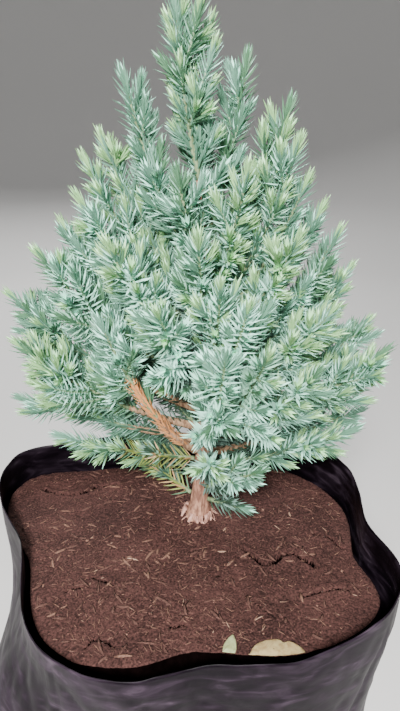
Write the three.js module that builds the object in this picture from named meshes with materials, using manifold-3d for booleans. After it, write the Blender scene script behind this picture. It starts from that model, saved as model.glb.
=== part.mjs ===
// A young blue juniper in a black plastic grow bag, in millimetres, +Z up.
// The origin is the middle of the bag's flat underside. The front is towards -Y, the right towards +X.
// Azimuths are in degrees, 0 to the right and 90 to the back. A seeded rule grows every twig and needle
// from the limb sizes below.

import * as THREE from "three";
import { mergeVertices } from "three/addons/utils/BufferGeometryUtils.js";
import Module from "manifold-3d";

const wasm = await Module();
wasm.setup();

const GAP = 0.3; // between neighbouring solids

// The bag and its soil
const BAG_HALF_WIDTH = 92;
const BAG_HALF_DEPTH = 70;
const BAG_SQUARENESS = 3.2; // 2 is an ellipse, more is squarer
const BAG_WALL = 1.2;
const BAG_FLOOR = 2.4;
const BAG_SIDES = 32;
const BAG_SWELL = [[0, 0.84], [7, 0.9], [45, 0.965], [95, 1], [140, 0.99], [160, 0.975]]; // height, share of width
const FOLDS_FROM = 110; // above this height the film bends towards the folds of its rim
const FOLDS_TO = 172;
const RIM_FOLDS = [
  [-3, 88], [23, 96], [48, 92], [90, 68], [129, 88], [151, 110],
  [187, 74], [231, 80], [257, 78], [280, 72], [315, 91], [339, 101],
]; // azimuth, distance from the middle
const RIM_LOW = 177;
const RIM_HIGH = 194;
const RIM_HIGH_AZIMUTH = 62;
const SOIL_LEVEL = 170;
const SOIL_INSET_BACK = 1.6; // the soil's top edge stands off the film, furthest at the front
const SOIL_INSET_FRONT = 8.5;
const SOIL_LUMPS = 2.2;

// The trunk
const FOOT = new THREE.Vector3(9, 26, SOIL_LEVEL + GAP);
const TRUNK_HEIGHT = 168;
const TREE_HEIGHT = 238;
const TRUNK_FOOT_RADIUS = 4.6;
const TRUNK_TIP_RADIUS = 1.5;
const TRUNK_BOW = 4.5; // to the right at half height
const LEADER_LEAN = 9; // back to the left at the tip
const FLARE = 3.6; // what the roots add to the radius at the soil
const FLARE_HEIGHT = 5;
const ROOT_COUNT = 3;
const ROOT_TURN = 0.1;
const ROOT_HOLLOW = 0.3; // of the flare, between the roots
const TRUNK_RINGS = [0, 2.5, 6, 12, 22, 40, 65, 95, 130, TRUNK_HEIGHT];
const TRUNK_SIDES = 9;

// Limbs
const BOUGH_SHARE = 0.34; // of a limb's length that is bare bough
const BOUGH_RADIUS = 2.1;
const STEM_RADIUS = 1.25;
const TWIG_RADIUS = 0.85;
const TIP_RADIUS = 0.5;
const SWEEP_OUT = 0.6; // a limb goes out to this share of its reach while it rises by the next one
const SWEEP_RISE = 0.32;
const TWIG_SPACING = 12.5;
const TWIG_REACH = 28; // of the first twig on a low limb
const HIGH_TWIG_REACH = 17; // and on the highest limbs
const TWIGS_SHORTEN = [140, 215]; // tip heights between which the reach changes
const TWIG_TAPER = 0.5; // a limb's last twig as a share of its first
const TWIG_LEAN = 42; // degrees from the stem
const TWIG_CURL = 0.12; // of its length that a twig's tip turns along the stem
const SHORTEST_TWIG = 12;
const GOLDEN_ANGLE = 137.5;

// Needles
const NEEDLE_LENGTH = 11.5;
const NEEDLE_LEAN_FOOT = 58; // degrees from the shoot
const NEEDLE_LEAN_TIP = 24;
const NEEDLE_CLEARANCE = 1.6; // between a needle and the next shoot's middle line
const WHORL_SPACING = 7.9;
const TIP_SPIKE = 7; // the last needle, drawn out of a shoot's end

// Each limb: name, height on the trunk where it leaves, azimuth, reach and height of its tip, and whether it
// begins as a bare bough. Reach is from the trunk's foot, and heights are above the soil.
const LIMBS = [
  ["foot_left", 9, 142, 46, 25, false],
  ["foot_right", 10, 331, 34, 13, false],
  ["front_foot", 16, 304, 36, 56, false],
  ["back_bottom_left", 21, 140, 74, 50, false],
  ["front_right_foot", 23, 318, 43, 47, false],
  ["back_bottom_right", 25, 52, 74, 50, false],
  ["right_bottom", 30, 350, 80, 61, false],
  ["left_bottom", 33, 187, 73, 54, false],
  ["front_hang", 34, 278, 45, 62, false],
  ["back_low", 35, 95, 82, 64, false],
  ["right_low", 36, 8, 90, 57, true],
  ["front_dry", 36, 223, 54, 124, true],
  ["front_lean", 42, 279, 66, 120, true],
  ["right_reach", 43, 353, 89, 101, true],
  ["left_low", 44, 175, 95, 66, true],
  ["front_right_low", 46, 316, 68, 106, false],
  ["back_left_wide", 48, 132, 84, 108, false],
  ["left_wide", 51, 197, 83, 109, true],
  ["right_back_mid", 52, 15, 93, 104, true],
  ["front_right_mid", 56, 294, 66, 118, false],
  ["back_right_wide", 57, 54, 84, 108, false],
  ["left_reach", 60, 174, 92, 121, true],
  ["right_outer", 62, 9, 74, 134, false],
  ["front_centre", 65, 280, 50, 141, false],
  ["front_right_wide", 66, 327, 66, 128, false],
  ["back_mid", 67, 92, 76, 136, false],
  ["front_right_star", 71, 286, 66, 137, false],
  ["right_mid", 74, 359, 63, 153, false],
  ["left_mid", 76, 197, 70, 147, false],
  ["front_left_star", 79, 257, 64, 134, false],
  ["left_back", 83, 160, 71, 153, false],
  ["front_left_mid", 87, 228, 52, 154, false],
  ["back_right_high", 90, 62, 56, 168, false],
  ["front_right_high", 94, 320, 52, 156, false],
  ["back_left_high", 97, 118, 56, 168, false],
  ["right_upper", 98, 2, 56, 163, false],
  ["front_upper", 99, 270, 36, 156, false],
  ["left_inner", 102, 200, 52, 168, false],
  ["right_flank", 103, 351, 47, 175, false],
  ["left_upper", 107, 177, 49, 182, false],
  ["right_inner", 108, 340, 43, 189, false],
  ["left_high", 112, 158, 47, 191, false],
  ["front_high", 116, 305, 34, 180, false],
  ["right_high", 121, 14, 41, 204, false],
  ["left_spire", 126, 182, 30, 213, false],
  ["front_left_high", 131, 250, 24, 178, false],
  ["back_spire", 137, 85, 31, 206, false],
  ["right_spire", 143, 40, 28, 221, false],
];
const LEADER = { name: "leader", bare: false, twigSpacing: 7.5, twigReach: 26, twigTaper: 0.4 };

// Colour and roughness
const FINISHES = {
  film: [0x17161a, 0.35],
  soil: [0x3d2a20, 0.95],
  bark: [0x8a6247, 0.9],
  blueNeedles: [0x9db8a8, 0.7],
  yellowNeedles: [0xb5a468, 0.75],
};

const degrees = (angle) => (angle * Math.PI) / 180;
const mix = (a, b, share) => a + (b - a) * share;

// A repeatable run of numbers from 0 to 1.
function dice(seed) {
  let state = seed;
  return () => {
    state = (1664525 * state + 1013904223) % 4294967296;
    return state / 4294967296;
  };
}

function geometryOf(points, faces) {
  const geometry = new THREE.BufferGeometry();
  const position = new Float32Array(points.flatMap((p) => [p.x, p.y, p.z]));
  geometry.setAttribute("position", new THREE.BufferAttribute(position, 3));
  geometry.setIndex(faces.flat());
  return geometry;
}

function solidOf(geometry) {
  const merged = mergeVertices(geometry, 1e-3);
  return new wasm.Manifold(
    new wasm.Mesh({
      numProp: 3,
      vertProperties: merged.attributes.position.array,
      triVerts: new Uint32Array(merged.index.array),
    }),
  );
}

function geometryOfSolid(solid) {
  const mesh = solid.getMesh();
  const geometry = new THREE.BufferGeometry();
  geometry.setAttribute("position", new THREE.BufferAttribute(mesh.vertProperties, 3));
  geometry.setIndex(new THREE.BufferAttribute(mesh.triVerts, 1));
  return geometry;
}

// Rings of points, each ring closed, joined into one skin with a fan at each end. Every four-sided patch is
// split the same way, whether the rings go up or down, so that a wall's two faces stay even.
function loft(rings) {
  const count = rings[0].length;
  const points = rings.flat();
  const faces = [];
  for (let r = 0; r + 1 < rings.length; r++) {
    const down = rings[r + 1][0].z < rings[r][0].z;
    for (let k = 0; k < count; k++) {
      const a = r * count + k;
      const b = r * count + ((k + 1) % count);
      const [c, d] = [a + count, b + count];
      if (down) faces.push([a, b, c], [b, d, c]);
      else faces.push([a, b, d], [a, d, c]);
    }
  }
  const middle = (ring) => ring.reduce((sum, p) => sum.add(p), new THREE.Vector3()).divideScalar(count);
  const last = (rings.length - 1) * count;
  const firstMiddle = points.push(middle(rings[0])) - 1;
  const lastMiddle = points.push(middle(rings.at(-1))) - 1;
  for (let k = 0; k < count; k++) {
    const next = (k + 1) % count;
    faces.push([next, k, firstMiddle], [last + k, last + next, lastMiddle]);
  }
  return geometryOf(points, faces);
}

// The bag

// The rim seen from above, smooth through its folds.
function rimRadius(azimuth) {
  const first = RIM_FOLDS[0][0];
  const turned = first + THREE.MathUtils.euclideanModulo(azimuth - first, 360);
  const count = RIM_FOLDS.length;
  const fold = (i) => {
    const [at, radius] = RIM_FOLDS[(i + count) % count];
    return [at + 360 * Math.floor(i / count), radius];
  };
  let i = 0;
  while (fold(i + 1)[0] <= turned) i++;
  const [before, [from, start], [to, end], after] = [fold(i - 1), fold(i), fold(i + 1), fold(i + 2)];
  const t = (turned - from) / (to - from);
  const startSlope = (end - before[1]) / 2;
  const endSlope = (after[1] - start) / 2;
  return (
    start * (2 * t ** 3 - 3 * t ** 2 + 1) + startSlope * (t ** 3 - 2 * t ** 2 + t) +
    end * (3 * t ** 2 - 2 * t ** 3) + endSlope * (t ** 3 - t ** 2)
  );
}

const rimHeight = (azimuth) =>
  mix(RIM_LOW, RIM_HIGH, 0.5 + 0.5 * Math.cos(degrees(azimuth - RIM_HIGH_AZIMUTH)));

// The filled bag below its folds: a rounded oblong that swells upwards.
function bellyRadius(azimuth, height) {
  const across = (Math.abs(Math.cos(degrees(azimuth))) / BAG_HALF_WIDTH) ** BAG_SQUARENESS;
  const deep = (Math.abs(Math.sin(degrees(azimuth))) / BAG_HALF_DEPTH) ** BAG_SQUARENESS;
  let swell = BAG_SWELL.at(-1)[1];
  for (let i = BAG_SWELL.length - 1; i > 0; i--) {
    const [[low, narrow], [high, wide]] = [BAG_SWELL[i - 1], BAG_SWELL[i]];
    if (height < high) swell = mix(narrow, wide, (height - low) / (high - low));
  }
  return swell * (across + deep) ** (-1 / BAG_SQUARENESS);
}

function bagRadius(azimuth, height) {
  const folded = THREE.MathUtils.smoothstep(height, FOLDS_FROM, FOLDS_TO);
  return mix(bellyRadius(azimuth, height), rimRadius(azimuth), folded);
}

// A ring on the film, moved inwards. Height and inset depend on the azimuth.
function bagRing(heightAt, insetAt) {
  return Array.from({ length: BAG_SIDES }, (_, k) => {
    const azimuth = (360 * k) / BAG_SIDES;
    const height = heightAt(azimuth);
    const radius = bagRadius(azimuth, height) - insetAt(azimuth);
    return new THREE.Vector3(
      radius * Math.cos(degrees(azimuth)), radius * Math.sin(degrees(azimuth)), height,
    );
  });
}

const outsideLevels = BAG_SWELL.map(([height]) => height);
const insideLevels = outsideLevels.map((height, i) => (i < 2 ? height + BAG_FLOOR : height));

function bag() {
  const outside = outsideLevels.map((height) => bagRing(() => height, () => 0));
  const inside = insideLevels.map((height) => bagRing(() => height, () => BAG_WALL)).reverse();
  return loft([...outside, bagRing(rimHeight, () => 0), bagRing(rimHeight, () => BAG_WALL), ...inside]);
}

function soil() {
  const roll = dice(11);
  const seated = insideLevels.map((height, i) =>
    bagRing(() => (i === 0 ? height + GAP : height), () => BAG_WALL + GAP),
  );
  const standOff = (azimuth) =>
    BAG_WALL + SOIL_INSET_BACK + SOIL_INSET_FRONT * Math.max(0, -Math.sin(degrees(azimuth))) ** 2;
  const edge = bagRing(() => SOIL_LEVEL, standOff);
  const drawnIn = (share, lumps) => edge.map((p) => new THREE.Vector3(
    mix(FOOT.x, p.x, share), mix(FOOT.y, p.y, share), SOIL_LEVEL - lumps * roll(),
  ));
  return loft([
    ...seated, bagRing(() => SOIL_LEVEL - SOIL_LUMPS, standOff),
    drawnIn(0.93, SOIL_LUMPS), drawnIn(0.66, SOIL_LUMPS), drawnIn(0.36, GAP), drawnIn(0.12, 0),
  ]);
}

// The trunk

// The middle of the trunk at a height over the soil.
function trunkAt(height) {
  const bow = TRUNK_BOW * Math.sin(degrees(height));
  return new THREE.Vector3(FOOT.x + bow, FOOT.y, FOOT.z + height);
}

const rootFlare = (height) => FLARE * Math.exp(-height / FLARE_HEIGHT);

function trunkRadius(height) {
  const left = Math.max(0, 1 - height / TRUNK_HEIGHT);
  return mix(TRUNK_TIP_RADIUS, TRUNK_FOOT_RADIUS, left ** 1.3) + rootFlare(height);
}

function trunk() {
  const rings = TRUNK_RINGS.map((height) => {
    const middle = trunkAt(height);
    return Array.from({ length: TRUNK_SIDES }, (_, k) => {
      const angle = (2 * Math.PI * k) / TRUNK_SIDES;
      const rootHollow = ROOT_HOLLOW * rootFlare(height) * (1 - Math.cos(ROOT_COUNT * angle - ROOT_TURN));
      const radius = trunkRadius(height) - rootHollow;
      return new THREE.Vector3(
        middle.x + radius * Math.cos(angle), middle.y + radius * Math.sin(angle), middle.z,
      );
    });
  });
  return loft(rings);
}

// Limbs

// A curve from a start to a tip, with the direction across its plane.
function sweep(start, tip, outShare, riseShare) {
  const knee = new THREE.Vector3(
    mix(start.x, tip.x, outShare), mix(start.y, tip.y, outShare), mix(start.z, tip.z, riseShare),
  );
  const path = new THREE.QuadraticBezierCurve3(start, knee, tip);
  const across = new THREE.Vector3(tip.y - start.y, start.x - tip.x, 0).normalize();
  return { path, across, length: path.getLength() };
}

// A limb leaves low, sweeps up to its tip, and starts just clear of the bark.
function limbOf([name, leaves, azimuth, reach, height, bare]) {
  const tip = new THREE.Vector3(
    FOOT.x + reach * Math.cos(degrees(azimuth)),
    FOOT.y + reach * Math.sin(degrees(azimuth)),
    FOOT.z + height,
  );
  const middle = trunkAt(leaves);
  const out = sweep(middle, tip, SWEEP_OUT, SWEEP_RISE).path.getTangent(0);
  const radius = bare ? BOUGH_RADIUS : STEM_RADIUS;
  const standOff = (trunkRadius(leaves) + GAP + radius * Math.abs(out.z)) / Math.hypot(out.x, out.y);
  const curve = sweep(middle.addScaledVector(out, standOff), tip, SWEEP_OUT, SWEEP_RISE);
  const twigReach = mix(TWIG_REACH, HIGH_TWIG_REACH, THREE.MathUtils.smoothstep(height, ...TWIGS_SHORTEN));
  return { name, bare, twigSpacing: TWIG_SPACING, twigReach, twigTaper: TWIG_TAPER, ...curve };
}

function leaderOf() {
  const tip = new THREE.Vector3(FOOT.x - LEADER_LEAN, FOOT.y, FOOT.z + TREE_HEIGHT);
  return { ...LEADER, ...sweep(trunkAt(TRUNK_HEIGHT + GAP), tip, SWEEP_OUT, SWEEP_RISE) };
}

const limbs = [...LIMBS.map(limbOf), leaderOf()];

// Points round a curve at a share of its length.
function ringAt(curve, share, radius, sides, turn) {
  const middle = curve.path.getPointAt(share);
  const up = curve.across.clone().cross(curve.path.getTangentAt(share));
  return Array.from({ length: sides }, (_, k) => {
    const angle = (2 * Math.PI * k) / sides + turn;
    return middle.clone()
      .addScaledVector(curve.across, radius * Math.sin(angle))
      .addScaledVector(up, radius * Math.cos(angle));
  });
}

function bough(limb) {
  const rings = [0, 1, 2, 3].map((r) =>
    ringAt(limb, (r / 3) * BOUGH_SHARE, mix(BOUGH_RADIUS, STEM_RADIUS, r / 3), 6, 0),
  );
  return loft(rings);
}

// Space. A mass keeps to the points that lie nearer to its own limb than to any other.

const limbLines = limbs.map((limb) => limb.path.getSpacedPoints(14));
const trunkLine = Array.from({ length: 15 }, (_, k) => trunkAt((TRUNK_HEIGHT * k) / 14));

function distanceToLine(point, line) {
  let nearest = Infinity;
  const segment = new THREE.Line3();
  const foot = new THREE.Vector3();
  for (let k = 0; k + 1 < line.length; k++) {
    segment.set(line[k], line[k + 1]);
    nearest = Math.min(nearest, segment.closestPointToPoint(point, true, foot).distanceTo(point));
  }
  return nearest;
}

function inOwnSpace(point, halfWidth, owner) {
  if (point.z < SOIL_LEVEL + 1 + halfWidth) return false;
  const height = Math.max(0, point.z - FOOT.z);
  const bark = trunkRadius(height) + 2 * GAP + halfWidth;
  if (height < TRUNK_HEIGHT + 1 && distanceToLine(point, trunkLine) < bark) return false;
  const own = distanceToLine(point, limbLines[owner]);
  return limbLines.every(
    (line, k) => k === owner || distanceToLine(point, line) - own > 2 * halfWidth + GAP,
  );
}

// Shoots

// A side twig that leaves the stem at a share of its length, shortened until it keeps to its space.
function twigOf(limb, owner, share, turn, wanted) {
  const start = limb.path.getPointAt(share);
  const along = limb.path.getTangentAt(share);
  const up = limb.across.clone().cross(along);
  const out = limb.across.clone().multiplyScalar(Math.sin(turn)).addScaledVector(up, Math.cos(turn));
  const lean = degrees(TWIG_LEAN);
  const way = out.multiplyScalar(Math.sin(lean)).addScaledVector(along, Math.cos(lean));
  const across = along.clone().cross(way).normalize();
  for (let length = wanted; length > SHORTEST_TWIG; length *= 0.9) {
    const knee = start.clone().addScaledVector(way, length / 2);
    const tip = start.clone().addScaledVector(way, length).addScaledVector(along, TWIG_CURL * length);
    const path = new THREE.QuadraticBezierCurve3(start, knee, tip);
    const fits = [0.35, 0.6, 0.8].every((s) => inOwnSpace(path.getPointAt(s), 1.3, owner));
    if (fits && inOwnSpace(tip, 0.2, owner)) return { path, across, length: path.getLength() };
  }
  return null;
}

// The stem of a mass and the twigs that leave it, each with its foot, its radius and a seed for its needles.
function shootsOf(limb, owner) {
  const roll = dice(1000 + 77 * owner);
  const from = limb.bare ? BOUGH_SHARE + GAP / limb.length : 0;
  const shoots = [{ curve: limb, from, radius: STEM_RADIUS, seed: 5000 + 50 * owner }];
  const count = Math.floor((limb.length * (1 - from) - 14) / limb.twigSpacing);
  for (let n = 0; n < count; n++) {
    const s = (n + 0.5) / count;
    const share = mix(from, 1 - 15 / limb.length, s);
    const wanted = limb.twigReach * mix(1, limb.twigTaper, s) * mix(0.85, 1.15, roll());
    const turn = degrees(GOLDEN_ANGLE * n + 40 * roll());
    const curve = twigOf(limb, owner, share, turn, wanted);
    if (curve) shoots.push({ curve, from: 0, radius: TWIG_RADIUS, seed: 5001 + 50 * owner + n });
  }
  return shoots;
}

// True where a needle keeps to its mass's space and stands clear of the mass's other shoots.
function needleFits(root, tip, owner, otherShoots) {
  const at = (share) => root.clone().lerp(tip, share);
  const inSpace = [[0.3, 1.4], [0.65, 0.8], [1, 0.15]].every(([share, halfWidth]) =>
    inOwnSpace(at(share), halfWidth, owner),
  );
  return inSpace && otherShoots.every((line) =>
    [0.5, 1].every((share) => distanceToLine(at(share), line) > NEEDLE_CLEARANCE),
  );
}

// A shoot is one closed skin: a slim three-sided core, turned a sixth at each whorl, whose faces are drawn out
// into needles. A needle that doesn't fit is left as the core's plain face. A corner of the first ring points up,
// which brings a stem's foot close to the bark.
function shootSkin({ curve, from, radius, seed }, owner, otherShoots) {
  const roll = dice(seed);
  const end = 1 - TIP_SPIKE / curve.length;
  const whorls = Math.max(2, Math.round(((end - from) * curve.length) / WHORL_SPACING));
  const points = [];
  const faces = [[2, 1, 0]];
  for (let j = 0; j <= whorls; j++) {
    const thickness = mix(radius, TIP_RADIUS, j / whorls);
    points.push(...ringAt(curve, mix(from, end, j / whorls), thickness, 3, (j * Math.PI) / 3));
  }
  for (let j = 0; j < whorls; j++) {
    const share = mix(from, end, (j + 0.4) / whorls);
    const middle = curve.path.getPointAt(share);
    const along = curve.path.getTangentAt(share);
    const lean = degrees(mix(NEEDLE_LEAN_FOOT, NEEDLE_LEAN_TIP, (j / whorls) ** 1.2));
    for (let k = 0; k < 3; k++) {
      const next = (k + 1) % 3;
      const [a, b, c] = [3 * j + k, 3 * j + next, 3 * (j + 1) + k];
      faces.push([c, b, 3 * (j + 1) + next]);
      const root = points[a].clone().add(points[b]).add(points[c]).divideScalar(3);
      const out = root.clone().sub(middle);
      out.addScaledVector(along, -out.dot(along)).normalize();
      const way = out.multiplyScalar(Math.sin(lean)).addScaledVector(along, Math.cos(lean));
      const tip = root.clone().addScaledVector(way, NEEDLE_LENGTH * mix(0.8, 1.1, roll()));
      if (needleFits(root, tip, owner, otherShoots)) {
        const t = points.push(tip) - 1;
        faces.push([a, b, t], [b, c, t], [c, a, t]);
      } else {
        faces.push([a, b, c]);
      }
    }
  }
  const last = 3 * whorls;
  const spike = points.push(curve.path.getPointAt(1)) - 1;
  for (let k = 0; k < 3; k++) faces.push([last + k, last + ((k + 1) % 3), spike]);
  return geometryOf(points, faces);
}

function mass(limb, owner) {
  const shoots = shootsOf(limb, owner);
  const lines = shoots.map(({ curve }) => curve.path.getSpacedPoints(6));
  const skins = shoots.map((shoot, n) => {
    const otherShoots = lines.filter((_, other) => other !== n);
    return solidOf(shootSkin(shoot, owner, otherShoots));
  });
  return geometryOfSolid(wasm.Manifold.union(skins));
}

// The whole plant

function named(name, geometry, [color, roughness]) {
  const mesh = new THREE.Mesh(geometry, new THREE.MeshStandardMaterial({ color, roughness, metalness: 0 }));
  mesh.name = name;
  return mesh;
}

const plant = new THREE.Group();
plant.add(named("bag", bag(), FINISHES.film));
plant.add(named("soil", soil(), FINISHES.soil));
plant.add(named("trunk", trunk(), FINISHES.bark));
limbs.forEach((limb, owner) => {
  const needles = limb.name === "foot_left" ? FINISHES.yellowNeedles : FINISHES.blueNeedles;
  if (limb.bare) plant.add(named("bough_" + limb.name, bough(limb), FINISHES.bark));
  plant.add(named("foliage_" + limb.name, mass(limb, owner), needles));
});

export default plant;
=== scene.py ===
"""A young blue needle juniper in a black film grow bag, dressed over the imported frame.

Sizes are in millimetres and become metres where a mesh is made. +Z is up and the front is towards -Y. The
growth rule and its sizes are the frame's own, carried on to finer twigs and to single needles.
"""

import math
from types import SimpleNamespace

import bpy
import numpy as np
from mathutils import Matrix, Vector, noise


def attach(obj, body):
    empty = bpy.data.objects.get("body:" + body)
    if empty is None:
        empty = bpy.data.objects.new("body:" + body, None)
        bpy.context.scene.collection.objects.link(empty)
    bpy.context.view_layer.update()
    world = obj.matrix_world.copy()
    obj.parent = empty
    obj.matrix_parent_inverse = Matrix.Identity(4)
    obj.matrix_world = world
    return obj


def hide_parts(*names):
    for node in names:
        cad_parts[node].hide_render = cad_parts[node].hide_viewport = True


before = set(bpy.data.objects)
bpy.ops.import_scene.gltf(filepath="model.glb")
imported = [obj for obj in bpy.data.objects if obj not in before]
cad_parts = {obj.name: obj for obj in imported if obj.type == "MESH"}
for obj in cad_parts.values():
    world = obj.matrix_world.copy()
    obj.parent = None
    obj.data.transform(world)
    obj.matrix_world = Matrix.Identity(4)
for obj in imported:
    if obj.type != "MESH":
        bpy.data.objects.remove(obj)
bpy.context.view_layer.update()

MM = 0.001
GAP = 0.3  # between neighbouring pieces
UP = np.array([0, 0, 1])

# The bag and its soil
BAG_HALF_WIDTH = 92
BAG_HALF_DEPTH = 70
BAG_SQUARENESS = 3.2
BAG_WALL = 1.2
BAG_SWELL = ((0, 0.84), (7, 0.9), (45, 0.965), (95, 1), (140, 0.99), (160, 0.975))
FOLDS_FROM = 110
FOLDS_TO = 172
RIM_FOLDS = (
    (-3, 88), (23, 96), (48, 92), (90, 68), (129, 88), (151, 110),
    (187, 74), (231, 80), (257, 78), (280, 72), (315, 91), (339, 101),
)
RIM_LOW = 177
RIM_HIGH = 194
RIM_HIGH_AZIMUTH = 62
SOIL_LEVEL = 170
SOIL_INSET_BACK = 1.6
SOIL_INSET_FRONT = 12.5
SOIL_INSET_TURN = 285  # the azimuth where it stands furthest off
FILM = 0.35  # thickness
FILM_SHINE = 0.08
INSIDE_PAINTED_SHADE = 0.45  # painted shade: the inside's colours as a share of the outside's, darker because the inside lies in shade
BAG_ROWS = 110
BAG_COLUMNS = 360
INSIDE_FROM = 0.55  # share of the height above which the film has an inner face
RIM_WAVER = 1.2
FOLD_GRAIN = 9  # a larger grain is a narrower fold
CREASE_GRAIN = 5
SLANT = 0.004  # radians that a fold turns in a millimetre of height
STIFF_RIM = (150, 178)  # heights between which the creases grow shallower
# Where creases meet at the rim: azimuth, height and depth
GATHERS = ((231, 181, 1.0), (337, 184, 1.4), (280, 178, 0.5))
GATHER_REACH = 60
SOIL_COUNT = 260  # points along a side of the square for the soil's top, even to miss its middle
EDGE_STEP = 1.5  # degrees between the points of its outline
# Heights on the soil's side, and how far inside the film it stands there
SOIL_SIDE = (
    (158, 8), (150, 4), (140, 2.4), (130, 2.4), (120, 2.4), (108, 2.4), (95, 2.2), (45, 1.9), (9.4, 1.9),
    (2.8, 1.9),
)
CRUMBS = 3600
FIBRES = 2300
CHIP_SHARE = 0.11  # of the fibres that are broad chips

# The trunk
FOOT = np.array([9, 26, SOIL_LEVEL + GAP])
TRUNK_HEIGHT = 168
TREE_HEIGHT = 238
TRUNK_FOOT_RADIUS = 4.6
TRUNK_TIP_RADIUS = 1.5
TRUNK_BOW = 4.5
LEADER_LEAN = 9
FLARE = 3.6
FLARE_HEIGHT = 5
ROOT_COUNT = 3
ROOT_TURN = 0.1
ROOT_HOLLOW = 0.3
# Roots: how many, least and most of azimuth, starting height, reach and radius, and sideways drift
KNUCKLES = (22, ((0, 360), (0, 3), (-2, 0.6), (1, 1.7)), 2)  # short and thick, they make the foot lumpy
ROOTLETS = (26, ((0, 360), (0, 2), (0, 4), (0.15, 0.35)), 5)
TRUNK_SIDES = 48
BOUGH_SIDES = 20

# Limbs and shoots
BOUGH_SHARE = 0.34
BOUGH_RADIUS = 2.1
STEM_RADIUS = 1.25
TWIG_RADIUS = 0.85
TWIGLET_RADIUS = 0.6
TIP_RADIUS = 0.4
SWEEP_OUT = 0.6  # how far out and up a limb's knee is
SWEEP_RISE = 0.32
LEADER_TWIGS = {"twig_spacing": 7.5, "twig_reach": 26, "twig_taper": 0.4, "twiglet_reach": 26}
TWIG_SPACING = 12.5
TWIG_REACH = 28  # of the first twig on a low limb
HIGH_TWIG_REACH = 17  # and on the highest limbs
TWIGS_SHORTEN = (140, 215)  # tip heights between which the reach changes
TWIG_TAPER = 0.5  # a limb's last twig as a share of its first
TWIG_LEAN = 42
TWIG_CURL = 0.12
SHORTEST_TWIG = 12
SHORTEST_TWIGLET = 7
TWIGLET_SPACING = 3.3
TWIGLET_CURL = 0.2  # of its length that a twiglet's tip turns up
TWIGLET_CLEARANCE = 2.8  # between a twiglet and the other shoots of its mass
TRUNK_TWIG_SPACING = 3.2
TRUNK_TWIGS_FROM = 62  # height on the trunk
TRUNK_TWIGS = (22, 18, 14, 10)  # lengths tried
TRUNK_TWIG_CLEARANCE = 3.5
TRUNK_TWIG_KNEE = np.array([0.38, 0.38, 0.32])  # out, out and up, in lengths
TRUNK_TWIG_TIP = np.array([0.62, 0.62, 0.8])
SPACE_TESTS = (0.35, 0.6, 0.8, 1)  # shares of a twig that are tested for space
KEPT_REACH = 0.96  # of its limb's reach, the furthest a twiglet goes
DROOPING_BELOW = (20, 80)  # a limb from above the first to below the second height sheds its hanging twigs
TWIGLET_REACH = ((60, 90, 180, 215), (16, 32, 26, 16))  # tip heights, longest twiglets
TWIGLET_SHARES = (0.45, 0.7)  # shortest and longest, of what is left of the parent
TWIGLETS_FROM = 0.12  # share of the parent
DRY_SHARE = 0.58  # of the dry limb
DRY_FROM = 0.05  # the share of it where its needles begin
BOUGH_NEEDLES_FROM = 0.05  # and of the other boughs
DRY_CLEAR = 3.8  # no other limb has needles this near to it
GOLDEN_ANGLE = 137.5

# Needles
NEEDLE_LENGTH = 9.2
NEEDLE_WIDTH = 1.15
NEEDLE_DEPTH = 0.5
NEEDLE_PROFILE = ((0, 0.75), (0.5, 1))  # share of the length, share of the width
WHORL_SPACING = 1.6
TIP_WHORL_SPACING = 1.1
TIP_NEEDLE_LENGTH = 7
OLD_LEAN = 50  # degrees from the shoot
DRY_LEAN = 15
TIP_LEAN = 12
YOUNG_LENGTH = 14  # of a shoot, over which its needles close up towards the tip
MOST_NEEDLES = 19000  # in one mesh
CROWN_OUTLINE = ((0, 60, 120, 170, 240), (75, 95, 90, 55, 12))  # heights, radii
SHADED_SHARE = 0.3  # of the crown's radius
SHADED_BELOW = 115  # height
TUFT_LENGTH = 6  # of the live tips on the ageing limbs
AGEING_OUT = {"foot_left": 60, "left_bottom": 36}  # how far from the trunk the ageing needles go

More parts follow.
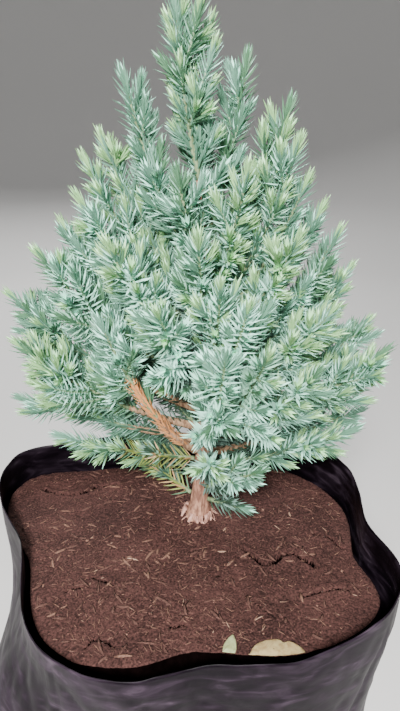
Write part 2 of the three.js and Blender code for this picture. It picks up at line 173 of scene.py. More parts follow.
# Each limb: name, height on the trunk where it leaves, azimuth, and its tip's reach and height from the foot
LIMBS = (
    ("foot_left", 9, 142, 46, 25), ("foot_right", 10, 331, 34, 13), ("front_foot", 16, 304, 36, 56),
    ("back_bottom_left", 21, 140, 74, 50), ("front_right_foot", 23, 318, 43, 47),
    ("back_bottom_right", 25, 52, 74, 50), ("right_bottom", 30, 350, 80, 61),
    ("left_bottom", 33, 187, 73, 54), ("front_hang", 34, 278, 45, 62), ("back_low", 35, 95, 82, 64),
    ("right_low", 36, 8, 90, 57), ("front_dry", 36, 223, 54, 124), ("front_lean", 42, 279, 66, 120),
    ("right_reach", 43, 353, 89, 101), ("left_low", 44, 175, 95, 66), ("front_right_low", 46, 316, 68, 106),
    ("back_left_wide", 48, 132, 84, 108), ("left_wide", 51, 197, 83, 109),
    ("right_back_mid", 52, 15, 93, 104), ("front_right_mid", 56, 294, 66, 118),
    ("back_right_wide", 57, 54, 84, 108), ("left_reach", 60, 174, 92, 121), ("right_outer", 62, 9, 74, 134),
    ("front_centre", 65, 280, 50, 141), ("front_right_wide", 66, 327, 66, 128),
    ("back_mid", 67, 92, 76, 136), ("front_right_star", 71, 286, 66, 137), ("right_mid", 74, 359, 63, 153),
    ("left_mid", 76, 197, 70, 147), ("front_left_star", 79, 257, 64, 134), ("left_back", 83, 160, 71, 153),
    ("front_left_mid", 87, 228, 52, 154), ("back_right_high", 90, 62, 56, 168),
    ("front_right_high", 94, 320, 52, 156), ("back_left_high", 97, 118, 56, 168),
    ("right_upper", 98, 2, 56, 163), ("front_upper", 99, 270, 36, 156), ("left_inner", 102, 200, 52, 168),
    ("right_flank", 103, 351, 47, 175), ("left_upper", 107, 177, 49, 182),
    ("right_inner", 108, 340, 43, 189), ("left_high", 112, 158, 47, 191), ("front_high", 116, 305, 34, 180),
    ("right_high", 121, 14, 41, 204), ("left_spire", 126, 182, 30, 213),
    ("front_left_high", 131, 250, 24, 178), ("back_spire", 137, 85, 31, 206),
    ("right_spire", 143, 40, 28, 221),
)
BARE_LIMBS = (
    "right_low", "front_dry", "front_lean", "right_reach", "left_low", "left_wide",
    "right_back_mid", "left_reach",
)

# The colours of each kind's outer face, then of its inner face, which has the waxy bloom
NEEDLE_COLOURS = {
    "blue": ((0.10, 0.225, 0.15), (0.41, 0.79, 0.62)),
    "pale": ((0.14, 0.29, 0.21), (0.51, 0.94, 0.77)),
    "green": ((0.08, 0.19, 0.10), (0.31, 0.60, 0.43)),
    "fresh": ((0.23, 0.42, 0.18), (0.46, 0.78, 0.44)),
    "shaded": ((0.04, 0.09, 0.055), (0.19, 0.32, 0.26)),
    "yellow": ((0.24, 0.29, 0.07), (0.40, 0.44, 0.17)),
    "tan": ((0.44, 0.27, 0.12), (0.62, 0.43, 0.24)),
    "dry": ((0.74, 0.33, 0.13), (0.90, 0.52, 0.25)),
}
KINDS = tuple(NEEDLE_COLOURS)
# Dealt out by spray: the kind, and how much of the tip is fresh
SPRAY_KINDS = ("blue", "blue", "pale", "green")
FRESH_LENGTHS = (0, 0, 3, 5)
AGEING_KINDS = ("yellow", "tan", "yellow", "green")  # one a millimetre, from the tip down


def dice(seed):
    """A repeatable run of numbers from 0 to 1."""
    state = seed
    while True:
        state = (1664525 * state + 1013904223) % 4294967296
        yield state / 4294967296


def mix(a, b, share):
    return a + (b - a) * share


def smoothstep(x, low, high):
    t = np.clip((x - low) / (high - low), 0, 1)
    return t * t * (3 - 2 * t)


def unit(vectors):
    return vectors / np.linalg.norm(vectors, axis=-1, keepdims=True)


def rough(points, size, octaves=3):
    """Soft noise from about -1 to 1 at each point, with lumps of about a size in millimetres."""
    return np.array([noise.fractal(Vector(p) / size, 1.0, 2.0, octaves) for p in points])


def place_at(azimuth, radius, height=0):
    turn = math.radians(azimuth)
    return np.array([radius * math.cos(turn), radius * math.sin(turn), height])


def places_round(turns, radius=1, height=0):
    """A place for each turn in radians."""
    return np.stack(np.broadcast_arrays(radius * np.cos(turns), radius * np.sin(turns), height), -1)


def distances(points, lines):
    """The distance from each point to each line."""
    starts = lines[:, :-1]
    steps = lines[:, 1:] - starts
    offsets = points[:, None, None] - starts
    shares = np.clip((offsets * steps).sum(-1) / (steps**2).sum(-1), 0, 1)
    return np.linalg.norm(offsets - shares[..., None] * steps, axis=-1).min(-1)


# Meshes

def piece(name, points, faces, materials, slots=0, smooth=True):
    """A piece of the plant made of faces that all have the same number of corners."""
    faces = np.asarray(faces, np.int32)
    mesh = bpy.data.meshes.new(name)
    mesh.vertices.add(len(points))
    mesh.vertices.foreach_set("co", np.asarray(points * MM, np.float32).ravel())
    mesh.loops.add(faces.size)
    mesh.loops.foreach_set("vertex_index", faces.ravel())
    mesh.polygons.add(len(faces))
    mesh.polygons.foreach_set("loop_start", np.arange(0, faces.size, faces.shape[1], dtype=np.int32))
    mesh.polygons.foreach_set("material_index", np.broadcast_to(slots, len(faces)).astype(np.int32))
    mesh.polygons.foreach_set("use_smooth", np.full(len(faces), smooth))
    for material in materials:
        mesh.materials.append(material)
    mesh.update(calc_edges=True)
    made = bpy.data.objects.new(name, mesh)
    bpy.context.scene.collection.objects.link(made)
    return made


def grid_faces(rows, columns, closed=True):
    """Four-cornered faces over rows of points, each row closed on itself or open."""
    r, c = np.meshgrid(np.arange(rows - 1), np.arange(columns if closed else columns - 1), indexing="ij")
    here = r * columns + c
    beside = r * columns + (c + 1) % columns
    return np.stack([here, beside, beside + columns, here + columns], -1).reshape(-1, 4)


def halved(quads):
    """Two triangles for every four-cornered face."""
    return np.concatenate([quads[:, [0, 1, 2]], quads[:, [0, 2, 3]]])


def fan(ring, middle, flipped=False):
    """Triangles from a ring of point numbers to one middle point."""
    following = np.roll(ring, -1)
    pairs = (following, ring) if flipped else (ring, following)
    return np.stack([*pairs, np.full(len(ring), middle)], -1)


# Materials

def new_material(name, colour, roughness, specular):
    material = bpy.data.materials.new(name)
    material.use_nodes = True
    shader = material.node_tree.nodes["Principled BSDF"]
    shader.inputs["Base Color"].default_value = (*colour, 1)
    shader.inputs["Roughness"].default_value = roughness
    shader.inputs["Specular IOR Level"].default_value = specular
    return material


class Pattern:
    """A new material with the nodes of a pattern, in the frame's own coordinates."""

    def __init__(self, name, colour, roughness, specular):
        self.material = new_material(name, colour, roughness, specular)
        self.tree = self.material.node_tree
        self.shader = self.tree.nodes["Principled BSDF"]
        self.place = self.tree.nodes.new("ShaderNodeTexCoord").outputs["Object"]

    def add(self, kind, inputs=(), **settings):
        node = self.tree.nodes.new(kind)
        for name, value in settings.items():
            setattr(node, name, value)
        for socket, value in dict(inputs).items():
            if isinstance(value, bpy.types.NodeSocket):
                self.tree.links.new(value, node.inputs[socket])
            else:
                node.inputs[socket].default_value = value
        return node

    def stretched(self, scale, turn=(0, 0, 0)):
        mapping = self.add("ShaderNodeMapping", {"Vector": self.place, "Scale": scale, "Rotation": turn})
        return mapping.outputs["Vector"]

    def noise(self, scale, place=None, detail=4, distortion=0):
        inputs = {"Scale": scale, "Vector": place or self.place, "Detail": detail, "Distortion": distortion}
        return self.add("ShaderNodeTexNoise", inputs).outputs["Fac"]

    def colour(self, value, stops):
        node = self.add("ShaderNodeValToRGB", {"Fac": value})
        for _ in stops[2:]:
            node.color_ramp.elements.new(0.5)
        for element, (position, colour) in zip(node.color_ramp.elements, stops):
            element.position = position
            element.color = (*colour, 1)
        self.link("Base Color", node.outputs["Color"])

    def range(self, value, low, high):
        inputs = {"Value": value, "From Min": 0.3, "From Max": 0.7, "To Min": low, "To Max": high}
        return self.add("ShaderNodeMapRange", inputs).outputs["Result"]

    def patchy(self, value, depth, scale, distortion=0):
        """The value, a little more or less in wide patches."""
        patches = self.range(self.noise(scale, detail=3, distortion=distortion), -depth, depth)
        return self.add("ShaderNodeMath", {0: value, 1: patches}, operation="ADD").outputs["Value"]

    def link(self, socket, value):
        self.tree.links.new(value, self.shader.inputs[socket])

    def bump(self, height, distance):
        node = self.add("ShaderNodeBump", {"Height": height, "Distance": distance * MM, "Strength": 1})
        self.link("Normal", node.outputs["Normal"])


def film_material(name, painted_shade_scale):
    """Black polythene with pale dusty scuffs brushed along it, whose lighter violet streaks are partly
    painted sheen, and fine creases; all its colours are scaled by a share, lower for painted shade.
    """
    pattern = Pattern(name, (0.02, 0.018, 0.022), 0.4, FILM_SHINE)
    scuffs_and_sheen = pattern.noise(1, pattern.stretched((55, 55, 190), (0.45, 0.3, 0)), 12, 0.9)
    worn_and_sheen = pattern.patchy(scuffs_and_sheen, 0.09, 30, 0.6)
    # the lighter stops are dusty scuffs and also painted sheen
    stops = ((0.34, (0.004, 0.0025, 0.0045)), (0.48, (0.0105, 0.0065, 0.011)),
             (0.6, (0.027, 0.018, 0.028)), (0.76, (0.085, 0.062, 0.085)))
    # painted shade: every colour is scaled by a share, lower on the film's inside, which lies in shade
    stops = [(at, tuple(painted_shade_scale * np.array(colour))) for at, colour in stops]
    pattern.colour(worn_and_sheen, stops)
    pattern.link("Roughness", pattern.range(scuffs_and_sheen, 0.34, 0.5))
    pattern.bump(pattern.noise(1, pattern.stretched((60, 60, 110), (0.5, 0.2, 0)), 3, 1), 0.12)
    return pattern.material


def soil_material(name, dark, light):
    """Coir potting mix: fine dark and light grains in patches of slightly different tones."""
    pattern = Pattern(name, dark, 0.95, 0.15)
    grain = pattern.noise(1100, detail=8)
    pattern.colour(pattern.patchy(grain, 0.07, 45), ((0.33, dark), (0.7, light)))
    pattern.bump(grain, 0.3)
    return pattern.material


def painted_shade_material(name, dark, light):
    """Painted shade: a near-black mix without any shine, for the cracks and the soil's side where shadow
    falls.
    """
    pattern = Pattern(name, dark, 1, 0)
    pattern.colour(pattern.noise(300, detail=5), ((0.35, dark), (0.65, light)))
    return pattern.material


def bark_material(name, dark, light):
    """Thin bark that flakes off in strips along the wood."""
    pattern = Pattern(name, dark, 0.85, 0.25)
    strips = pattern.noise(1, pattern.stretched((700, 700, 160)), 5, 0.6)
    pattern.colour(strips, ((0.36, dark), (0.66, light)))
    pattern.bump(strips, 0.4)
    return pattern.material


# The bag

def rim_radius(azimuth):
    """The rim seen from above, smooth through its folds."""
    first = RIM_FOLDS[0][0]
    turned = first + (azimuth - first) % 360
    i = sum(at <= turned for at, _ in RIM_FOLDS) - 1
    near = (RIM_FOLDS[k % len(RIM_FOLDS)] for k in range(i - 1, i + 3))
    (_, before), (start_at, start), (end_at, end), (_, after) = near
    t = (turned - start_at) / ((end_at - start_at) % 360)
    start_slope = (end - before) / 2
    end_slope = (after - start) / 2
    return (
        start * (2 * t**3 - 3 * t**2 + 1) + start_slope * (t**3 - 2 * t**2 + t)
        + end * (3 * t**2 - 2 * t**3) + end_slope * (t**3 - t**2)
    )


def rim_height(azimuth):
    return mix(RIM_LOW, RIM_HIGH, 0.5 + 0.5 * math.cos(math.radians(azimuth - RIM_HIGH_AZIMUTH)))


def belly_radius(azimuth, height):
    """The filled bag below its folds: a rounded oblong that swells upwards."""
    shares = abs(place_at(azimuth, 1)[:2]) / (BAG_HALF_WIDTH, BAG_HALF_DEPTH)
    across, deep = shares.tolist()
    size = (across**BAG_SQUARENESS + deep**BAG_SQUARENESS) ** (-1 / BAG_SQUARENESS)
    return np.interp(height, *zip(*BAG_SWELL)) * size


def bag_radius(azimuth, height):
    folded = smoothstep(height, FOLDS_FROM, FOLDS_TO)
    return mix(belly_radius(azimuth, height), rim_radius(azimuth), folded)


def bag_ring(azimuths, height_at, inset_at):
    """A ring on the film, moved inwards."""
    ring = [(a, height_at(a)) for a in azimuths]
    return np.array([place_at(a, bag_radius(a, h) - inset_at(a, h), h) for a, h in ring])


def wrinkle(azimuth, height):
    """How far the film is drawn in by its creases, from 0 to about 1.2."""
    turn = math.radians(azimuth)
    slant = turn + SLANT * height
    point = Vector((FOLD_GRAIN * math.cos(slant), FOLD_GRAIN * math.sin(slant), height * 0.02))
    folds = noise.noise(point) + 0.5 * noise.noise(2.3 * point)
    point = Vector((CREASE_GRAIN * math.cos(slant), CREASE_GRAIN * math.sin(slant), height * 0.035 + 4))
    crease = 1 - abs(noise.noise(point)) * 6
    return 0.3 + 0.4 * folds + 0.4 * max(0, crease) + gathered(azimuth, height)


def gathered(azimuth, height):
    """Creases that spread downwards from where the film is pinched at its rim."""
    depth = 0
    for at, top, deepest in GATHERS:
        across = BAG_HALF_WIDTH * math.radians((azimuth - at + 180) % 360 - 180)
        down = max(0, top - height)
        away = math.hypot(across, down)
        spread = math.atan2(across, down + 35)
        ridge = max(0, 1 - 3 * abs(noise.noise(Vector((6 * spread, 0.01 * away, at)))))
        depth += deepest * ridge * math.exp(-away / GATHER_REACH) * min(1, down / 14)
    return depth


def make_bag():
    """The film's outside from the bottom up, over the rim and down the inside, and its underside."""
    azimuths = np.arange(BAG_COLUMNS) * 360 / BAG_COLUMNS
    levels = np.linspace(0, 1, BAG_ROWS)

    def height_at(level):
        return lambda a: level * (rim_height(a) + RIM_WAVER * noise.noise(Vector((a / 9, 0, 0))))

    def drawn_in(azimuth, height):
        free = 1 - 0.7 * smoothstep(height, *STIFF_RIM)
        return max(0, wrinkle(azimuth, height)) * free * min(1, height / 12)

    outside = [bag_ring(azimuths, height_at(level), drawn_in) for level in levels]
    inner = levels[levels > INSIDE_FROM][::-1]
    inside = [bag_ring(azimuths, height_at(level), lambda a, h: drawn_in(a, h) + FILM) for level in inner]
    rings = [*outside, *inside]
    points = np.concatenate([*rings, [[0, 0, 0]]])
    quads = grid_faces(len(rings), BAG_COLUMNS)
    bottom = fan(np.arange(BAG_COLUMNS), len(points) - 1, flipped=True)
    is_inner = np.arange(len(quads)) >= (BAG_ROWS - 1) * BAG_COLUMNS
    slots = np.concatenate([is_inner, is_inner, np.full(len(bottom), False)])
    # the inner faces take a copy of the film darkened as painted shade
    materials = [film_material("black_film", 1), film_material("black_film_inside_painted_shade", INSIDE_PAINTED_SHADE)]
    bag = piece("bag_film", points, np.concatenate([halved(quads), bottom]), materials, slots)
    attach(bag, "root")
    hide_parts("bag")


make_bag()


# The soil

# Cracks, each a line of places on the soil with its depth and half its width
CRACKS = (
    (((32, -1), (35, -4), (38, -8), (41, -10.5), (44, -9.5), (47, -6), (50, -3.5), (54, -3), (58, -5),
      (64, -12)), 7, 1.1),
    (((-42, -19), (-38, -19), (-33, -21), (-29, -23)), 3, 0.5),
    (((-48, -27), (-43, -24)), 2.5, 0.5),
    (((56, -29), (64, -27), (69, -26), (76, -26)), 3, 0.5),
    (((68, 10), (76, 6), (80, 0)), 2.5, 0.5),
    (((-79, 47), (-69, 43), (-58, 43), (-48, 49), (-37, 52)), 4, 0.7),
    (((-2, -45), (4, -44.5)), 3, 0.6),
    (((-35, -55), (-33, -52), (-28, -52), (-24, -55)), 1.6, 0.4),
)
PAINTED_SHADE_MIX = ((0.0012, 0.0006, 0.0006), (0.003, 0.0015, 0.0015))  # painted shade: near-black in the cracks and down the side, where shadow falls

LEAF = 0.25  # thickness
LEAF_OVERHANG = 0.4  # a leaf ends this far beyond the soil's edge
BROAD_LEAF_AT = np.array([40.4, -59.0])
SLIM_LEAF = (np.array([20.5, -60]), np.array([23.4, -49.4]))  # foot, tip


def soil_stand_off(azimuth):
    forward = max(0, math.cos(math.radians(azimuth - SOIL_INSET_TURN)))
    return BAG_WALL + SOIL_INSET_BACK + SOIL_INSET_FRONT * forward**2


def soil_edge(azimuth):
    """The soil's outer edge as seen from above."""
    return place_at(azimuth, bag_radius(azimuth, SOIL_LEVEL) - soil_stand_off(azimuth))[:2]


def turn_of(place):
    return math.degrees(math.atan2(place[1], place[0])) % 360


def rough_ground(places, shift, size, octaves):
    return rough(np.column_stack([places, np.zeros(len(places))]) + shift, size, octaves)


def crack_offsets(places):
    """Each crack's depth, half its width, and the places' distances from its wandering line."""
    wander = np.column_stack([rough_ground(places, 20, 5, 2), rough_ground(places, 30, 5, 2)])
    wandered = places + 1.2 * wander
    return [(depth, half, distances(wandered, np.array([line]))[:, 0]) for line, depth, half in CRACKS]


def soil_heights(places):
    """The top of the soil at each place, lumpy and cracked."""
    height = -1.0 + rough_ground(places, 0, 28, 2) + 0.45 * rough_ground(places, 50, 9, 2)
    height += 0.3 * rough_ground(places, 90, 2.4, 3)
    for depth, half_width, off in crack_offsets(places):
        height -= depth * np.exp(-((off / half_width) ** 2))
        height += 0.1 * depth * np.exp(-(((off - 2.2) / 1.4) ** 2))
    return SOIL_LEVEL + height


def in_crack(places):
    return np.any([off < half_width for _, half_width, off in crack_offsets(places)], axis=0)


def make_soil():
    """The soil's top, from a square of points drawn out to its outline, and its side."""
    count = SOIL_COUNT
    line = np.linspace(-1, 1, count)
    u, v = np.meshgrid(line, line)
    share = np.maximum(abs(u), abs(v))
    wide = abs(u) >= abs(v)
    turn = np.where(wide, 45 * v / u, 90 - 45 * u / v) + 180 * np.where(wide, u < 0, v < 0)
    edge_turns = np.arange(0, 361, EDGE_STEP)
    edge = np.array([soil_edge(a) for a in edge_turns])
    outline = np.stack([np.interp(turn % 360, edge_turns, edge[:, k]) for k in (0, 1)], -1)
    places = (outline * share[..., None]).reshape(-1, 2)
    top = np.column_stack([places, soil_heights(places)])
    top[:, 2] -= 0.6 * smoothstep(share.ravel(), 0.99, 1)
    top_triangles = halved(grid_faces(count, count, closed=False))
    # The square's rim in order, then rings down the side
    square = np.arange(count * count).reshape(count, count)
    rim = np.concatenate([square[0], square[1:, -1], square[-1, -2::-1], square[-2:0:-1, 0]])
    rim_turns = turn.ravel()[rim]
    rings = [
        bag_ring(rim_turns, lambda _: level, lambda a, _: min(soil_stand_off(a), BAG_WALL + inset))
        for level, inset in SOIL_SIDE
    ]
    points = np.concatenate([top, *rings, [[0, 0, SOIL_SIDE[-1][0]]]])
    side = grid_faces(len(rings), len(rim)) + len(top)
    first = np.arange(len(rim)) + len(top)
    joint = np.stack([rim, np.roll(rim, -1), np.roll(first, -1), first], -1)
    last = len(top) + (len(rings) - 1) * len(rim) + np.arange(len(rim))
    below = np.concatenate([halved(joint[:, ::-1]), halved(side[:, ::-1]), fan(last, len(points) - 1)])
    # painted shade: faces in the cracks, and all faces down the side and underneath, take the near-black
    # shade material
    dark = np.concatenate([in_crack(places[top_triangles].mean(1)), np.full(len(below), True)])
    materials = [
        soil_material("coir_mix", (0.017, 0.0075, 0.0065), (0.09, 0.04, 0.034)),
        painted_shade_material("painted_shade_mix", *PAINTED_SHADE_MIX),
    ]
    soil = piece("soil_mix", points, np.concatenate([top_triangles, below]), materials, dark)
    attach(soil, "root")
    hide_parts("soil")


def scattered(count, seed, inwards=0.96):
    """Places on the soil, evenly random up to a share of the way out, without those in a crack."""
    roll = dice(seed)
    found = []
    while len(found) < count:
        azimuth = 360 * next(roll)
        share = inwards * math.sqrt(next(roll))
        found.append(soil_edge(azimuth) * share)
    found = np.array(found)
    return found[~in_crack(found)]


def make_crumbs():
    """Small lumps of the mix, each eight-faced and uneven."""
    rng = np.random.default_rng(5)
    places = scattered(CRUMBS, 21, 0.985)
    count = len(places)
    size = rng.uniform(0.2, 0.5, count) + 0.6 * rng.random(count) ** 9
    corners = np.array([(1, 0, 0), (0, 1, 0), (-1, 0, 0), (0, -1, 0), (0, 0, 0.8), (0, 0, -0.8)])
    shapes = corners * rng.uniform(0.6, 1.25, (count, 6, 3)) + rng.uniform(-0.25, 0.25, (count, 6, 3))
    along = places_round(rng.uniform(0, 2 * np.pi, count))[:, None]
    turned = shapes[..., :1] * along + shapes[..., 1:2] * np.cross(UP, along) + shapes[..., 2:] * UP
    middles = np.column_stack([places, soil_heights(places) + 0.15 * size])
    points = (turned * size[:, None, None] + middles[:, None]).reshape(-1, 3)
    one = np.array([(0, 1, 4), (1, 2, 4), (2, 3, 4), (3, 0, 4), (1, 0, 5), (2, 1, 5), (3, 2, 5), (0, 3, 5)])
    faces = (one + len(corners) * np.arange(count)[:, None, None]).reshape(-1, 3)
    materials = [
        soil_material("dark_crumb", (0.025, 0.011, 0.009), (0.07, 0.032, 0.027)),
        soil_material("brown_crumb", (0.055, 0.025, 0.021), (0.13, 0.062, 0.05)),
        soil_material("tan_crumb", (0.16, 0.08, 0.055), (0.26, 0.15, 0.11)),
    ]
    slots = np.repeat(np.searchsorted((0.5, 0.96), rng.random(count)), len(one))
    crumbs = piece("soil_crumbs", points, faces, materials, slots, smooth=False)
    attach(crumbs, "root")


def strips(places, turns, lengths, widths, lift, bend, rise):
    """The points and triangles of slivers of three-sided section, and how many triangles each has."""
    steps = np.linspace(-0.5, 0.5, 5)
    along = places_round(turns)[:, None]
    side = np.cross(UP, along)
    curve = (steps**2 - 0.08)[None, :, None] * bend[:, None, None]
    spine = places[:, None] + lengths[:, None, None] * (steps[None, :, None] * along + curve * side)
    spine[..., 2] += lift[:, None] + rise[:, None] * lengths[:, None] * steps
    narrow = np.array([0.35, 0.9, 1, 0.85, 0.3])[None, :, None] * widths[:, None, None] / 2
    ridge = spine + UP * narrow * 0.6
    points = np.stack([spine - side * narrow, ridge, spine + side * narrow], 2)
    count = len(places)
    one = grid_faces(5, 3)
    one = np.concatenate([one[:, [0, 2, 1]], one[:, [0, 3, 2]], [[0, 1, 2], [14, 13, 12]]])
    faces = one + 15 * np.arange(count)[:, None, None]
    return points.reshape(-1, 3), faces.reshape(-1, 3), len(one)


def make_fibres():
    """Coir fibres and chips that lie in the mix."""
    rng = np.random.default_rng(8)
    flat = scattered(FIBRES, 22)
    count = len(flat)
    chip = rng.random(count) < CHIP_SHARE
    lengths = np.where(chip, rng.uniform(3, 9, count), rng.uniform(1.3, 5, count))
    widths = np.where(chip, rng.uniform(0.9, 1.9, count), rng.uniform(0.25, 0.65, count))
    places = np.column_stack([flat, soil_heights(flat)])
    points, faces, each = strips(
        places, rng.uniform(0, 2 * np.pi, count), lengths, widths,
        rng.uniform(-0.15, 0.15, count), rng.normal(0, 0.18, count), rng.uniform(-0.08, 0.08, count),
    )
    materials = [
        bark_material("brown_fibre", (0.06, 0.027, 0.021), (0.12, 0.06, 0.046)),
        bark_material("tan_fibre", (0.12, 0.06, 0.043), (0.21, 0.115, 0.08)),
        bark_material("pale_fibre", (0.25, 0.15, 0.1), (0.42, 0.28, 0.2)),
    ]
    slots = np.repeat(np.searchsorted((0.7, 0.98), rng.random(count)), each)
    fibres = piece("soil_fibres", points, faces, materials, slots)
    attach(fibres, "root")


def make_leaf(name, outline, lift, dome, dark, light):
    """A thin, domed dead leaf, torn off at the soil's edge."""
    reach = np.array([math.hypot(*soil_edge(turn_of(p))) + LEAF_OVERHANG for p in outline])
    outline = outline * np.minimum(1, reach / np.hypot(*outline.T))[:, None]
    middle = outline.mean(0)
    shares = np.linspace(1, 0.05, 14)
    places = middle + shares[:, None, None] * (outline - middle)
    top = np.full(places.shape[:2], soil_heights(outline).max() + lift) + dome * (1 - shares[:, None] ** 2)
    top += 0.3 * rough(np.dstack([places, top]).reshape(-1, 3), 5, 2).reshape(top.shape)
    rings = np.dstack([places, top])
    points = np.concatenate([*(rings - LEAF * UP)[::-1], *rings])
    quads = grid_faces(2 * len(shares), len(outline))
    leaf = piece(name, points, quads, [leaf_material(name + "_skin", dark, light)])
    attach(leaf, "root")


def leaf_material(name, dark, light):
    pattern = Pattern(name, dark, 0.6, 0.3)
    blotches = pattern.noise(260, detail=6, distortion=1)
    pattern.colour(blotches, ((0.35, dark), (0.62, light)))
    pattern.bump(pattern.noise(1, pattern.stretched((900, 250, 250), (0, 0, 0.4)), 4), 0.2)
    return pattern.material


def notched_oval():
    """The broad leaf, half as deep as it is wide, with a notch in its far side."""
    turn = np.radians(np.arange(0, 360, 5))
    notch = 1 - 0.17 * np.exp(-(((turn - math.radians(72)) / 0.12) ** 2))
    return BROAD_LEAF_AT + np.stack([10.8 * np.cos(turn), 7.2 * np.sin(turn)], -1) * notch[:, None]


def pointed_blade():
    """The slim leaf, broadest near its foot."""
    share = np.linspace(0, 1, 16)
    half_width = 2.6 * np.sin(np.pi * share**0.75) ** 0.8
    foot, tip = SLIM_LEAF
    along = tip - foot
    across = np.array([-along[1], along[0]]) / np.hypot(*along)
    middle = foot + share[:, None] * along
    half = half_width[:, None] * across
    return np.concatenate([middle - half, (middle + half)[-2:0:-1]])


make_soil()
make_crumbs()
make_fibres()
make_leaf("broad_leaf", notched_oval(), 0.1, 0.6, (0.27, 0.17, 0.075), (0.42, 0.33, 0.16))
make_leaf("slim_leaf", pointed_blade(), 0.1, 0.4, (0.25, 0.27, 0.12), (0.38, 0.42, 0.22))


# Growth

class Curve:
    """A curve from a start over a knee to a tip, with the direction across its plane."""

    def __init__(self, start, knee, tip, across):
        self.ends = (start, knee, tip)
        self.across = across
        self.shares = np.linspace(0, 1, 201)
        gone = np.linalg.norm(np.diff(self.at(self.shares), axis=0), axis=1)
        self.gone = np.concatenate([[0], np.cumsum(gone)])
        self.length = self.gone[-1]

    def at(self, t):
        start, knee, tip = self.ends
        t = np.asarray(t, float)[..., None]
        return (1 - t) ** 2 * start + 2 * t * (1 - t) * knee + t**2 * tip

    def even(self, share):
        return np.interp(np.asarray(share) * self.length, self.gone, self.shares)

    def point(self, share):
        return self.at(self.even(share))

    def along(self, share):
        start, knee, tip = self.ends
        t = self.even(share)[..., None]
        return unit((1 - t) * (knee - start) + t * (tip - knee))


def sweep(start, tip):
    """A curve that runs outwards first and rises later."""
    knee = mix(start, tip, np.array([SWEEP_OUT, SWEEP_OUT, SWEEP_RISE]))
    across = unit(np.array([tip[1] - start[1], start[0] - tip[0], 0]))
    return Curve(start, knee, tip, across)


def trunk_at(height):
    """The middle of the trunk at a height over the soil."""
    height = np.asarray(height, float)
    bow = TRUNK_BOW * np.sin(np.radians(height))
    return FOOT + np.stack([bow, 0 * height, height], -1)


def root_flare(height):
    return FLARE * np.exp(-height / FLARE_HEIGHT)


def trunk_radius(height):
    left = np.maximum(0, 1 - height / TRUNK_HEIGHT)
    return mix(TRUNK_TIP_RADIUS, TRUNK_FOOT_RADIUS, left**1.3) + root_flare(height)


def limb_of(name, leaves, azimuth, reach, height):
    """A limb leaves the trunk, sweeps up to its tip, and starts just clear of the bark."""
    tip = FOOT + place_at(azimuth, reach, height)
    middle = trunk_at(leaves)
    out = sweep(middle, tip).along(0)
    bare = name in BARE_LIMBS
    radius = BOUGH_RADIUS if bare else STEM_RADIUS
    stand_off = (trunk_radius(leaves) + GAP + radius * abs(out[2])) / math.hypot(out[0], out[1])
    return SimpleNamespace(
        name=name, bare=bare, curve=sweep(middle + out * stand_off, tip),
        twig_spacing=TWIG_SPACING, twig_taper=TWIG_TAPER,
        twig_reach=mix(TWIG_REACH, HIGH_TWIG_REACH, smoothstep(height, *TWIGS_SHORTEN)),
        twiglet_reach=np.interp(height, *TWIGLET_REACH),
        sheds_drooping=leaves > DROOPING_BELOW[0] and height < DROOPING_BELOW[1],
    )


# The tree's top, which grows on from the trunk
leader = SimpleNamespace(
    name="leader", bare=False, sheds_drooping=False, **LEADER_TWIGS,
    curve=sweep(trunk_at(TRUNK_HEIGHT + GAP), FOOT + np.array([-LEADER_LEAN, 0, TREE_HEIGHT])),
)
limbs = [*(limb_of(*row) for row in LIMBS), leader]
limb_lines = np.array([limb.curve.point(np.linspace(0, 1, 15)) for limb in limbs])
trunk_line = trunk_at(TRUNK_HEIGHT * np.arange(15) / 14)[None]


def in_own_space(points, half_widths, owner):
    """True for each point clear of soil and trunk and nearer to its own limb than to another."""
    clear = points[:, 2] >= SOIL_LEVEL + 1 + half_widths
    heights = np.maximum(0, points[:, 2] - FOOT[2])
    bark = trunk_radius(heights) + 2 * GAP + half_widths
    clear &= (heights >= TRUNK_HEIGHT + 1) | (distances(points, trunk_line)[:, 0] >= bark)
    to_lines = distances(points, limb_lines)
    own = to_lines[:, owner].copy()
    to_lines[:, owner] = np.inf
    return clear & (to_lines.min(1) - own > 2 * half_widths + GAP)


def shoot_of(curve, owner, start, radius, seed, dry=0):
    """A stem or twig, with the shares where it begins and up to which it is dry, and its foot's radius."""
    line = curve.point(np.linspace(0, 1, 7))
    return SimpleNamespace(
        curve=curve, line=line, owner=owner, start=start, radius=radius, seed=seed, dry=dry,
    )


def side_shoot(parent, owner, share, turn, wanted, shortest, half_width, others=None, reach=None):
    """A side twig, shortened until it keeps to its space, or None.

    A finer one, given the other shoots and its limb's tip, also turns up and keeps clear of both.
    """
    start = parent.point(share)
    along = parent.along(share)
    up = np.cross(parent.across, along)
    out = parent.across * math.sin(turn) + up * math.cos(turn)
    lean = math.radians(TWIG_LEAN)
    way = out * math.sin(lean) + along * math.cos(lean)
    across = unit(np.cross(along, way))
    finer = others is not None
    curl = along * TWIG_CURL + UP * (TWIGLET_CURL if finer else 0)
    half_widths = np.array([half_width, half_width, half_width, 0.2])
    length = wanted
    while length > shortest:
        curve = Curve(start, start + way * length / 2, start + (way + curl) * length, across)
        tests = curve.point(SPACE_TESTS)
        clear = not finer or (
            distances(tests[2:], others).min() > TWIGLET_CLEARANCE and keeps_reach(tests[3], start, reach)
        )
        if clear and in_own_space(tests, half_widths, owner).all():
            return curve
        length *= 0.9
    return None


def keeps_reach(tip, start, reach):
    """True where a twiglet rises and stays inside its limb's own tip."""
    out = math.hypot(*(tip - FOOT)[:2])
    furthest = max(KEPT_REACH * math.hypot(*(reach - FOOT)[:2]), LEADER_TWIGS["twig_reach"] / 2)
    return out < furthest and start[2] - 1 < tip[2] < reach[2] - 3


